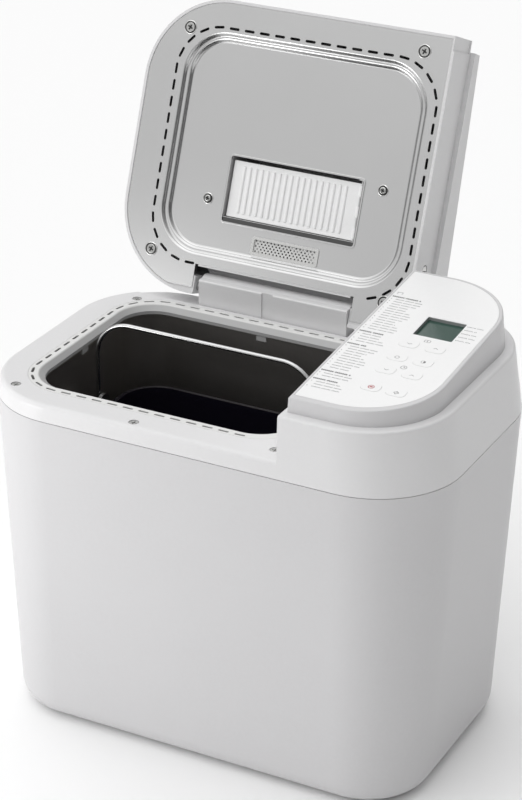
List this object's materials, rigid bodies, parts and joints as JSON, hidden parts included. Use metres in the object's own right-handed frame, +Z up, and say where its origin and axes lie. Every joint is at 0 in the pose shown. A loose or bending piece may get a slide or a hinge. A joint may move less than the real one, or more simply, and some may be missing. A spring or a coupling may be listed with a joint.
{
  "type": "bread machine",
  "caption": "Countertop bread machine with its lid open: white body, sloping key panel, oven chamber, lift-out pan with wire handle, ribbed ingredient dispenser in the lid.",
  "frame": {"origin": "centre of the footprint on the plane that the feet stand on", "axes": "+X along the long side towards the control panel, +Y from the front to the lid hinge, +Z up"},
  "size_m": [0.389, 0.3511, 0.5268],
  "materials": {
    "body_white": "satin moulded",
    "ring_grey": "satin",
    "cover_white": "satin moulded",
    "overlay_white": "smooth printed sheet",
    "key_white": "satin",
    "display_green": "clear over grey green",
    "bezel_grey": "satin",
    "rubber_dark": "moulded",
    "lid_aluminium": "brushed and pressed",
    "chamber_steel": "dull heat-stained",
    "sheet_steel": "plain",
    "screw_steel": "zinc plated",
    "heater_steel": "oxidised tube",
    "nonstick_dark": "non-stick coat",
    "pan_aluminium": "dull",
    "bail_chrome": "polished wire",
    "grille_light": "painted perforated sheet",
    "cast_alloy": "as cast",
    "bush_bronze": "sintered",
    "motor_dark": "coated",
    "pulley_black": "moulded",
    "belt_black": "flat belt",
    "board_green": "circuit board",
    "coil_wrap": "wound coil"
  },
  "bodies": {
    "body": {"lower_body": "body_white", "feet": "rubber_dark", "base_plate": "sheet_steel", "body_screws": "screw_steel", "cord_gland": "rubber_dark", "top_cover": "cover_white", "oven_ring": "ring_grey", "ring_clips": "ring_grey", "oven_chamber": "chamber_steel", "heat_shield": "sheet_steel", "heater_element": "heater_steel", "heater_supports": "sheet_steel", "temperature_sensor": "sheet_steel", "pan_socket": "cast_alloy", "chassis": "sheet_steel", "pillars": "sheet_steel", "bearing_housing": "cast_alloy", "shaft_bushes": "bush_bronze", "drive_belt": "belt_black", "motor": "motor_dark", "motor_mounts": "rubber_dark", "control_panel": "body_white", "panel_overlay": "overlay_white", "display_bezel": "bezel_grey", "display": "display_green", "control_board": "board_green", "power_board": "board_green", "hinge_pins": "sheet_steel"},
    "lid": {"lid_cover": "cover_white", "lid_plate": "lid_aluminium", "lid_screws": "screw_steel", "steam_grille": "grille_light", "steam_vent": "cover_white", "dispenser_box": "cover_white", "dispenser_pins": "sheet_steel", "dispenser_solenoid": "coil_wrap"},
    "flap": {"dispenser_flap": "overlay_white"},
    "door": {"dispenser_lid": "cover_white"},
    "plunger": {"solenoid_plunger": "sheet_steel"},
    "drive": {"drive_shaft": "sheet_steel", "drive_pulley": "pulley_black", "drive_coupler": "cast_alloy"},
    "rotor": {"motor_shaft": "sheet_steel", "motor_pulley": "pulley_black"},
    "pan": {"bread_pan": "nonstick_dark", "pan_base": "pan_aluminium", "pan_shaft_seal": "rubber_dark", "pan_ears": "pan_aluminium"},
    "bail": {"pan_handle": "bail_chrome"},
    "pan_drive": {"pan_shaft": "sheet_steel", "pan_coupler": "cast_alloy"},
    "blade": {"kneading_blade": "nonstick_dark"},
    "key_select_down": {"key_select_down": "key_white"},
    "key_select_up": {"key_select_up": "key_white"},
    "key_size": {"key_size": "key_white"},
    "key_crust": {"key_crust": "key_white"},
    "key_timer_down": {"key_timer_down": "key_white"},
    "key_timer_up": {"key_timer_up": "key_white"},
    "key_stop": {"key_stop": "key_white"},
    "key_start": {"key_start": "key_white"}
  },
  "joints": [
    {"name": "lid_hinge", "type": "hinge", "parent": "body", "child": "lid", "pos_m": [0, 0.1147, 0.3018], "axis": [1, 0, 0], "range_deg": [0, 110.3]},
    {"name": "pan_lift", "type": "slide", "parent": "body", "child": "pan", "axis": [0, 0, -1], "range_m": [-0.245, 0]},
    {"name": "pan_handle_fold", "type": "hinge", "parent": "pan", "child": "bail", "pos_m": [-0.048, 0, 0.237], "axis": [1, 0, 0], "range_deg": [0, 81]},
    {"name": "drive_spin", "type": "hinge", "parent": "body", "child": "drive", "pos_m": [-0.048, 0, 0.02], "axis": [0, 0, 1], "continuous": true},
    {"name": "motor_spin", "type": "hinge", "parent": "body", "child": "rotor", "pos_m": [0.128, 0, 0.05], "axis": [0, 0, 1], "continuous": true},
    {"name": "pan_shaft_spin", "type": "hinge", "parent": "pan", "child": "pan_drive", "pos_m": [-0.048, 0, 0.1], "axis": [0, 0, 1], "continuous": true},
    {"name": "blade_lift", "type": "slide", "parent": "pan_drive", "child": "blade", "axis": [0, 0, -1], "range_m": [-0.128, 0]},
    {"name": "flap_swing", "type": "hinge", "parent": "lid", "child": "flap", "pos_m": [0.0146, 0.14399, 0.38127], "axis": [0, 0.3469, 0.9379], "range_deg": [0, 80]},
    {"name": "dispenser_lid_swing", "type": "hinge", "parent": "lid", "child": "door", "pos_m": [-0.043, 0.18414, 0.32868], "axis": [-1, 0, 0], "range_deg": [0, 100]},
    {"name": "plunger_slide", "type": "slide", "parent": "lid", "child": "plunger", "axis": [-1, 0, 0], "range_m": [0, 0.005], "stiffness_N_per_m": 150},
    {"name": "key_select_down_press", "type": "slide", "parent": "body", "child": "key_select_down", "axis": [0, 0.0877, -0.9962], "range_m": [0, 0.0006], "stiffness_N_per_m": 500},
    {"name": "key_select_up_press", "type": "slide", "parent": "body", "child": "key_select_up", "axis": [0, 0.0877, -0.9962], "range_m": [0, 0.0006], "stiffness_N_per_m": 500},
    {"name": "key_size_press", "type": "slide", "parent": "body", "child": "key_size", "axis": [0, 0.0877, -0.9962], "range_m": [0, 0.0006], "stiffness_N_per_m": 500},
    {"name": "key_crust_press", "type": "slide", "parent": "body", "child": "key_crust", "axis": [0, 0.0877, -0.9962], "range_m": [0, 0.0006], "stiffness_N_per_m": 500},
    {"name": "key_timer_down_press", "type": "slide", "parent": "body", "child": "key_timer_down", "axis": [0, 0.0877, -0.9962], "range_m": [0, 0.0006], "stiffness_N_per_m": 500},
    {"name": "key_timer_up_press", "type": "slide", "parent": "body", "child": "key_timer_up", "axis": [0, 0.0877, -0.9962], "range_m": [0, 0.0006], "stiffness_N_per_m": 500},
    {"name": "key_stop_press", "type": "slide", "parent": "body", "child": "key_stop", "axis": [0, 0.0877, -0.9962], "range_m": [0, 0.0006], "stiffness_N_per_m": 500},
    {"name": "key_start_press", "type": "slide", "parent": "body", "child": "key_start", "axis": [0, 0.0877, -0.9962], "range_m": [0, 0.0006], "stiffness_N_per_m": 500}
  ],
  "couplings": [
    {"joint": "pan_handle_fold", "follows": "lid_hinge", "ratio": 0.72529},
    {"joint": "motor_spin", "follows": "drive_spin", "ratio": 5.6364},
    {"joint": "pan_shaft_spin", "follows": "drive_spin", "ratio": 1}
  ]
}
